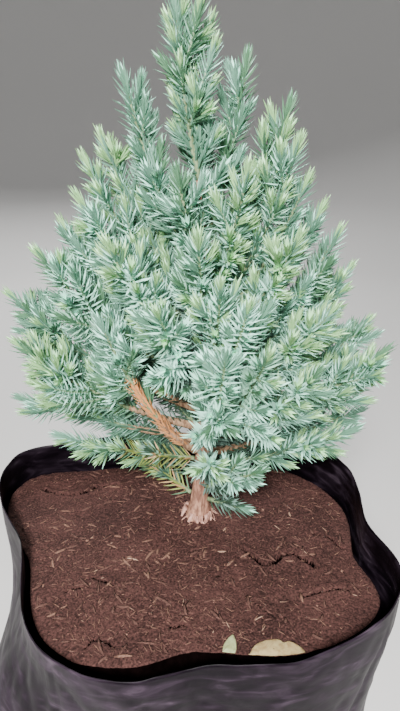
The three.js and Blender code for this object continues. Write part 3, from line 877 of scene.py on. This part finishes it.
def shoots_of(limb, owner):
    """The stem of a mass and its twigs, as the frame has them, then finer ones between them."""
    roll = dice(1000 + 77 * owner)
    curve = limb.curve
    start = BOUGH_SHARE + GAP / curve.length if limb.bare else 0
    dry = DRY_SHARE if limb.name == "front_dry" else 0
    shoots = [shoot_of(curve, owner, start, STEM_RADIUS, 5000 + 50 * owner, dry)]
    count = int((curve.length * (1 - start) - 14) // limb.twig_spacing)
    for n in range(count):
        s = (n + 0.5) / count
        share = mix(start, 1 - 15 / curve.length, s)
        wanted = limb.twig_reach * mix(1, limb.twig_taper, s) * mix(0.85, 1.15, next(roll))
        turn = math.radians(GOLDEN_ANGLE * n + 40 * next(roll))
        twig = side_shoot(curve, owner, share, turn, wanted, SHORTEST_TWIG, 1.3)
        drooping = twig and limb.sheds_drooping and twig.ends[2][2] < twig.ends[0][2]
        if twig and not drooping:
            shoots.append(shoot_of(twig, owner, 0, TWIG_RADIUS, 5001 + 50 * owner + n))
    finer = dice(7000 + 91 * owner)
    for parent in list(shoots):
        first = max(TWIGLETS_FROM, parent.dry, parent.start)
        count = int(parent.curve.length * (1 - first) // TWIGLET_SPACING)
        for n in range(count):
            share = mix(first, 1 - 7 / parent.curve.length, (n + next(finer)) / count)
            wanted = mix(*TWIGLET_SHARES, next(finer)) * parent.curve.length * (1 - share)
            wanted = min(wanted + SHORTEST_TWIGLET, limb.twiglet_reach)
            turn = math.radians(GOLDEN_ANGLE * n + 60 * next(finer))
            lines = np.array([shoot.line for shoot in shoots if shoot is not parent] or [parent.line + 1000])
            twig = side_shoot(
                parent.curve, owner, share, turn, wanted, SHORTEST_TWIGLET, 0.5, lines, curve.ends[2],
            )
            if twig:
                seed = 20000 + 300 * owner + len(shoots)
                shoots.append(shoot_of(twig, owner, 0, TWIGLET_RADIUS, seed))
    return shoots


def trunk_shoots():
    """Short twigs straight from the trunk, which fill its crown between the limbs."""
    roll = dice(60)
    owner = len(limbs) - 1
    found = []
    for n in range(int((TRUNK_HEIGHT - TRUNK_TWIGS_FROM) / TRUNK_TWIG_SPACING)):
        height = TRUNK_TWIGS_FROM + TRUNK_TWIG_SPACING * n
        out = place_at(GOLDEN_ANGLE * n + 60 * next(roll), 1, 1)
        start = trunk_at(height) + (out - UP) * trunk_radius(height) * 0.6
        across = unit(np.cross(out, UP))
        for length in TRUNK_TWIGS:
            knee = start + length * (out * TRUNK_TWIG_KNEE)
            curve = Curve(start, knee, start + length * (out * TRUNK_TWIG_TIP), across)
            if distances(curve.point([0.6, 1]), limb_lines).min() > TRUNK_TWIG_CLEARANCE:
                found.append(shoot_of(curve, owner, 0, TWIGLET_RADIUS, 90000 + n))
                break
    return found


shoots = [shoot for owner, limb in enumerate(limbs) for shoot in shoots_of(limb, owner)] + trunk_shoots()


# Needles

def needle_skins(rows, kinds):
    """Straight awl-shaped needles with a flat inner face and a keel."""
    root, way, inner = rows[:, 0:3], rows[:, 3:6], rows[:, 6:9]
    length, width = rows[:, 9:10], rows[:, 10:11]
    side = np.cross(way, inner)
    rings = []
    for at, share in NEEDLE_PROFILE:
        middle = root + way * length * at
        half = side * width * share / 2
        rings += [middle - half, middle + half, middle - inner * NEEDLE_DEPTH * share * width / NEEDLE_WIDTH]
    points = np.stack([*rings, root + way * length], 1)
    inner_faces = [(0, 1, 4), (0, 4, 3), (3, 4, 6)]
    outer_faces = [(1, 2, 5), (1, 5, 4), (2, 0, 3), (2, 3, 5), (4, 5, 6), (5, 3, 6), (2, 1, 0)]
    one = np.array(inner_faces + outer_faces)
    faces = one + 7 * np.arange(len(rows))[:, None, None]
    is_inner = np.arange(len(one)) < len(inner_faces)
    slots = 2 * kinds[:, None] + is_inner
    return points.reshape(-1, 3), faces.reshape(-1, 3), slots.ravel()


def kind_of(shoot, limb_name, place, from_tip, fresh_length, blue, share):
    """The kind of a whorl, by its shoot, its distance from the tip and its depth in the crown."""
    if share < shoot.dry:
        return "dry"
    height = place[2] - FOOT[2]
    out = math.hypot(place[0] - FOOT[0], place[1] - FOOT[1])
    if from_tip > TUFT_LENGTH and out < AGEING_OUT.get(limb_name, 0):
        return AGEING_KINDS[int(from_tip) % 4]
    if height < SHADED_BELOW and out < SHADED_SHARE * np.interp(height, *CROWN_OUTLINE):
        return "shaded"
    if from_tip < fresh_length:
        return "fresh"
    return blue


dry_limb = next(shoot for shoot in shoots if shoot.dry)
dry_line = dry_limb.curve.point(np.linspace(0, dry_limb.dry, 15))[None]


def has_shed(place, limb_name):
    """True near the dry limb, where the other limbs have lost their needles."""
    return limb_name != "front_dry" and distances(place[None], dry_line)[0, 0] < DRY_CLEAR


def needles_of(shoot, rng):
    """The needles of a shoot, in whorls of three from its tip down: sizes, and the number of the kind."""
    roll = dice(shoot.seed)
    limb_name = limbs[shoot.owner].name
    curve = shoot.curve
    core_end = curve.length - min(TIP_NEEDLE_LENGTH, 0.7 * curve.length)
    fresh_length = FRESH_LENGTHS[int(4 * next(roll))]
    blue = SPRAY_KINDS[int(4 * next(roll))]
    from_tip = 0
    turn = 360 * next(roll)
    first = DRY_FROM if shoot.dry else min(shoot.start, BOUGH_NEEDLES_FROM)
    while core_end - from_tip > first * curve.length + 0.6:
        share = (core_end - from_tip) / curve.length
        middle = curve.point(share)
        along = curve.along(share)
        up = np.cross(curve.across, along)
        closed = 1 - smoothstep(from_tip, 0, YOUNG_LENGTH)
        thickness = mix(TIP_RADIUS, shoot.radius, from_tip / curve.length)
        kind = KINDS.index(kind_of(shoot, limb_name, middle, from_tip, fresh_length, blue, share))
        for k in range(0 if has_shed(middle, limb_name) else 3):
            angle = math.radians(turn + 120 * k + rng.uniform(-9, 9))
            radial = curve.across * math.sin(angle) + up * math.cos(angle)
            open_lean = DRY_LEAN if share < shoot.dry else OLD_LEAN
            lean = math.radians(mix(open_lean, TIP_LEAN, closed) + rng.uniform(-6, 6))
            way = radial * math.sin(lean) + along * math.cos(lean)
            inner = along * math.sin(lean) - radial * math.cos(lean)
            length = mix(NEEDLE_LENGTH, TIP_NEEDLE_LENGTH, closed**3) * rng.uniform(0.85, 1.08)
            width = NEEDLE_WIDTH * rng.uniform(0.85, 1.1)
            yield (*(middle + radial * thickness * 0.6), *way, *inner, length, width), kind
        from_tip += mix(WHORL_SPACING, TIP_WHORL_SPACING, closed)
        turn += 60


def make_needles():
    """One piece for every few thousand needles, from the lowest up."""
    rng = np.random.default_rng(3)
    grown = [each for shoot in shoots for each in needles_of(shoot, rng)]
    rows, kinds = (np.array(part) for part in zip(*grown))
    materials = []
    for kind, (outer, inner) in NEEDLE_COLOURS.items():
        materials.append(new_material(f"{kind}_outer_face", outer, 0.5, 0.4))
        materials.append(new_material(f"{kind}_inner_face", inner, 0.65, 0.3))
    order = np.argsort(rows[:, 2], kind="stable")
    for n, chosen in enumerate(np.array_split(order, math.ceil(len(order) / MOST_NEEDLES))):
        points, faces, slots = needle_skins(rows[chosen], kinds[chosen])
        made = piece(f"needles_{n + 1}", points, faces, materials, slots, smooth=False)
        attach(made, "root")
        if n == 0:
            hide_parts(*("foliage_" + limb.name for limb in limbs))


make_needles()


# Wood

def tube_faces(count, sides):
    """Triangles over the rings of a tube and over both its ends."""
    n = np.arange(1, sides - 1)
    start = np.column_stack([0 * n, n + 1, n])
    end = np.column_stack([0 * n, n, n + 1]) + (count - 1) * sides
    return np.concatenate([halved(grid_faces(count, sides)), start, end])


def tube(curve, shares, radii, sides):
    """Rings of points round shares of a curve, and the triangles that close them."""
    up = np.cross(curve.across, curve.along(shares))
    angles = 2 * np.pi * np.arange(sides) / sides
    ring = curve.across * np.sin(angles)[:, None, None] + up * np.cos(angles)[:, None, None]
    points = (curve.point(shares) + ring * radii[:, None]).transpose(1, 0, 2).reshape(-1, 3)
    return points, tube_faces(len(shares), sides)


def joined(parts):
    """The points and faces of several parts as one."""
    offsets = np.cumsum([0] + [len(points) for points, _ in parts[:-1]])
    points = np.concatenate([points for points, _ in parts])
    return points, np.concatenate([faces + offset for (_, faces), offset in zip(parts, offsets)])


def twig_part(shoot, sides):
    curve = shoot.curve
    end = 1 - min(TIP_NEEDLE_LENGTH / curve.length, 0.7)
    count = max(3, int(curve.length / 3.5))
    shares = np.linspace(shoot.start, end, count)
    return tube(curve, shares, mix(shoot.radius, TIP_RADIUS, np.linspace(0, 1, count)), sides)


def bark_tube(curve, first, last, foot_radius, tip_radius, seed):
    """A limb's wood with strips of bark in relief."""
    count = max(12, int(curve.length * (last - first) / 0.8))
    sides = BOUGH_SIDES
    shares = np.linspace(first, last, count)
    points, faces = tube(curve, shares, mix(foot_radius, tip_radius, np.linspace(0, 1, count)), sides)
    middles = np.repeat(curve.point(shares), sides, axis=0)
    turns = np.tile(2 * np.pi * np.arange(sides) / sides, count)
    down = np.repeat(shares * curve.length, sides)
    where = places_round(turns, 3, 0.25 * down + seed)
    relief = 1 + 0.14 * rough(where, 1, 3)[:, None]
    return middles + (points - middles) * relief, faces


def trunk_part():
    """The trunk with its root flare, and strips of bark in relief."""
    sides = TRUNK_SIDES
    heights = np.concatenate([np.linspace(-GAP, 20, 60), np.linspace(20.4, TRUNK_HEIGHT, 240)])
    angles = 2 * np.pi * np.arange(sides) / sides
    height, angle = (grid.ravel() for grid in np.meshgrid(heights, angles, indexing="ij"))
    hollow = ROOT_HOLLOW * root_flare(height) * (1 - np.cos(ROOT_COUNT * angle - ROOT_TURN))
    where = places_round(angle, 4, 0.16 * height)
    relief = 0.35 * rough(where, 0.8, 4) - 0.5 * np.maximum(0, rough(where + 9, 2, 2))
    relief *= 1 + 1.4 * np.exp(-height / FLARE_HEIGHT)
    radius = trunk_radius(np.maximum(0, height)) - hollow + relief
    return trunk_at(height) + places_round(angle, radius), tube_faces(len(heights), sides)


trunk_bark = bark_material("trunk_bark", (0.17, 0.08, 0.055), (0.5, 0.27, 0.18))
trunk = piece("trunk_bark", *trunk_part(), [trunk_bark])
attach(trunk, "root")
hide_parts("trunk")


def root_part(azimuth, height, reach, radius, drift):
    """A root that leaves the flare, bends down and runs out over the soil."""
    out = place_at(azimuth, 1)
    side = np.cross(UP, out)
    start = FOOT + out * (trunk_radius(height) - ROOT_HOLLOW * root_flare(height)) + height * UP
    knee = FOOT + out * (trunk_radius(0) + 0.25 * reach) + side * drift * 0.3
    tip = FOOT + out * (trunk_radius(0) + reach) + side * drift - 2 * UP
    shares = np.linspace(0, 1, 7)
    return tube(Curve(start, knee, tip, side), shares, radius * (1 - 0.55 * shares), 7)


def make_roots():
    rng = np.random.default_rng(12)
    parts = []
    for count, ranges, drift in (KNUCKLES, ROOTLETS):
        for _ in range(count):
            azimuth, height, reach, radius = (rng.uniform(*limits) for limits in ranges)
            parts.append(root_part(azimuth, height, reach, radius, rng.normal(0, drift)))
    skin = bark_material("root_skin", (0.25, 0.12, 0.09), (0.6, 0.36, 0.28))
    roots = piece("roots", *joined(parts), [skin])
    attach(roots, "root")


make_roots()

bare_limbs = [limb for limb in limbs if limb.bare]
boughs = piece("boughs_bark", *joined([
    bark_tube(limb.curve, -0.02, BOUGH_SHARE + 0.02, BOUGH_RADIUS, STEM_RADIUS, n)
    for n, limb in enumerate(bare_limbs)
]), [bark_material("bough_bark", (0.15, 0.085, 0.05), (0.42, 0.27, 0.16))])
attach(boughs, "root")
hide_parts(*("bough_" + limb.name for limb in bare_limbs))

for name, radius, sides, dark, light in (
    ("stems", STEM_RADIUS, 7, (0.11, 0.15, 0.07), (0.24, 0.31, 0.17)),
    ("twigs", TWIG_RADIUS, 6, (0.12, 0.19, 0.1), (0.26, 0.36, 0.22)),
    ("twiglets", TWIGLET_RADIUS, 5, (0.14, 0.22, 0.12), (0.28, 0.4, 0.27)),
):
    chosen = [shoot for shoot in shoots if shoot.radius == radius]
    skin = bark_material(name + "_skin", dark, light)
    wood = piece(name, *joined([twig_part(shoot, sides) for shoot in chosen]), [skin])
    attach(wood, "root")


# Floor, light and camera

FLOOR_SIDES = 96
# Distance from the middle and height of each ring of the floor
FLOOR_RINGS = ((0.01, 0), (900, 0), (1300, 20), (1800, 160), (2300, 520), (2600, 1100), (2700, 1900))

# In metres and watts: name, place, place aimed at, width, power and colour
LIGHTS = (
    ("key", (-0.06, -0.48, 0.585), (0.01, 0.0, 0.26), 0.12, 12.6, (1, 0.98, 0.97)),
    ("fill", (1.1, -0.5, 0.9), (0.01, 0.0, 0.24), 0.8, 3, (0.95, 0.98, 1)),
    ("back", (-0.3, 1.2, 1.1), (0.01, 0.0, 0.26), 0.8, 20, (1, 1, 1)),
)
WORLD_LIGHT = 0.12
CAMERA_AT = (0.0101, -0.2067, 0.3540)  # metres
CAMERA_DOWN = 22  # degrees
LENS = 27.04


def make_floor():
    """A pale dish, flat where the bag stands, that curves up far away on every side."""
    angles = 2 * np.pi * np.arange(FLOOR_SIDES) / FLOOR_SIDES
    rings = [places_round(angles, *ring) for ring in FLOOR_RINGS]
    skin = new_material("pale_floor", (0.78, 0.77, 0.75), 0.8, 0.2)
    floor = piece("floor", np.concatenate(rings), grid_faces(len(FLOOR_RINGS), FLOOR_SIDES), [skin])


def area_light(name, place, aim, size, energy, colour):
    light = bpy.data.lights.new(name, "AREA")
    light.shape = "DISK"
    light.size = size
    light.energy = energy
    light.color = colour
    lamp = bpy.data.objects.new(name, light)
    lamp.location = place
    lamp.rotation_mode = "QUATERNION"
    lamp.rotation_quaternion = (Vector(aim) - Vector(place)).to_track_quat("-Z", "Y")
    bpy.context.scene.collection.objects.link(lamp)


make_floor()
for row in LIGHTS:
    area_light(*row)

world = bpy.data.worlds.new("studio")
world.use_nodes = True
sky = world.node_tree.nodes["Background"].inputs
sky["Color"].default_value = (0.9, 0.93, 1, 1)
sky["Strength"].default_value = WORLD_LIGHT
bpy.context.scene.world = world

camera = bpy.data.objects.new("camera", bpy.data.cameras.new("camera"))
camera.location = CAMERA_AT
camera.rotation_euler = (math.radians(90 - CAMERA_DOWN), 0, 0)
camera.data.sensor_width = 36
camera.data.lens = LENS
camera.data.clip_start = 0.01
bpy.context.scene.collection.objects.link(camera)
bpy.context.scene.camera = camera
